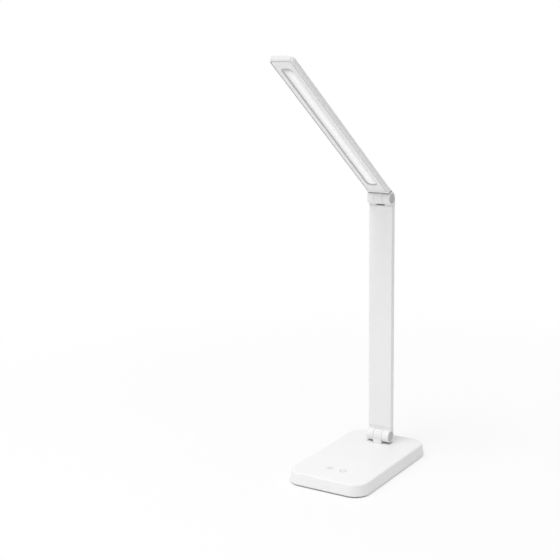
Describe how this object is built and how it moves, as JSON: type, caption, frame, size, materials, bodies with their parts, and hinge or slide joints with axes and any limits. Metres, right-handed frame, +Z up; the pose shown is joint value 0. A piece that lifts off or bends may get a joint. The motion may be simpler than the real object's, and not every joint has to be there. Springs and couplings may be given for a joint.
{
  "type": "folding led desk lamp",
  "caption": "Folding desk lamp with a flat weighted base, touch keys, an upright flat arm and a slim light bar with a long diffuser window, joined by pin hinges.",
  "frame": {"origin": "on the table, under the middle of the base, on the underside of the anti-slip pad", "axes": "+X along both hinge pins, to the right when seen from the front; +Y from the touch keys to the hinge side; +Z up, along the upright arm"},
  "size_m": [0.094, 0.2279, 0.4459],
  "materials": {
    "white_plastic": "satin white",
    "underside_plastic": "matt light grey",
    "pad_rubber": "matt dark grey",
    "steel": "plain",
    "battery_foil": "matt foil",
    "board_green": "solder mask",
    "board_white": "white solder mask",
    "chip_black": "matt black",
    "touch_copper": "plain",
    "mark_grey": "matt grey",
    "socket_steel": "plated",
    "cable_grey": "satin",
    "cap_grey": "satin grey",
    "diffuser_opal": "opal",
    "led_yellow": "satin"
  },
  "bodies": {
    "base": {"base_cover": "white_plastic", "base_plate": "underside_plastic", "anti_slip_pad": "pad_rubber", "ballast_plate": "steel", "battery_pack": "battery_foil", "control_board": "board_green", "board_parts": "chip_black", "touch_pads": "touch_copper", "key_marks": "mark_grey", "socket_board": "board_green", "power_socket": "socket_steel", "socket_tongue": "chip_black", "base_screws": "steel", "hinge_neck": "white_plastic", "neck_screws": "steel", "base_cable": "cable_grey", "power_cable": "cable_grey", "battery_lead": "cable_grey"},
    "arm": {"lower_yoke": "white_plastic", "lower_pin": "steel", "lower_nut": "steel", "lower_washers": "steel", "lower_caps": "cap_grey", "arm_tube": "white_plastic", "arm_cable": "cable_grey", "yoke_screws": "steel", "upper_yoke": "white_plastic", "upper_pin": "steel", "upper_nut": "steel", "upper_washers": "steel", "upper_caps": "cap_grey"},
    "head": {"head_block": "white_plastic", "head_shell": "white_plastic", "head_bezel": "white_plastic", "diffuser": "diffuser_opal", "lamp_board": "board_white", "leds": "led_yellow", "head_cable": "cable_grey"}
  },
  "joints": [
    {"name": "arm_fold", "type": "hinge", "parent": "base", "child": "arm", "pos_m": [0, 0.05, 0.0222], "axis": [1, 0, 0], "range_deg": [0, 90]},
    {"name": "head_tilt", "type": "hinge", "parent": "arm", "child": "head", "pos_m": [0, 0.05, 0.2902], "axis": [1, 0, 0], "range_deg": [-53, 127]}
  ]
}
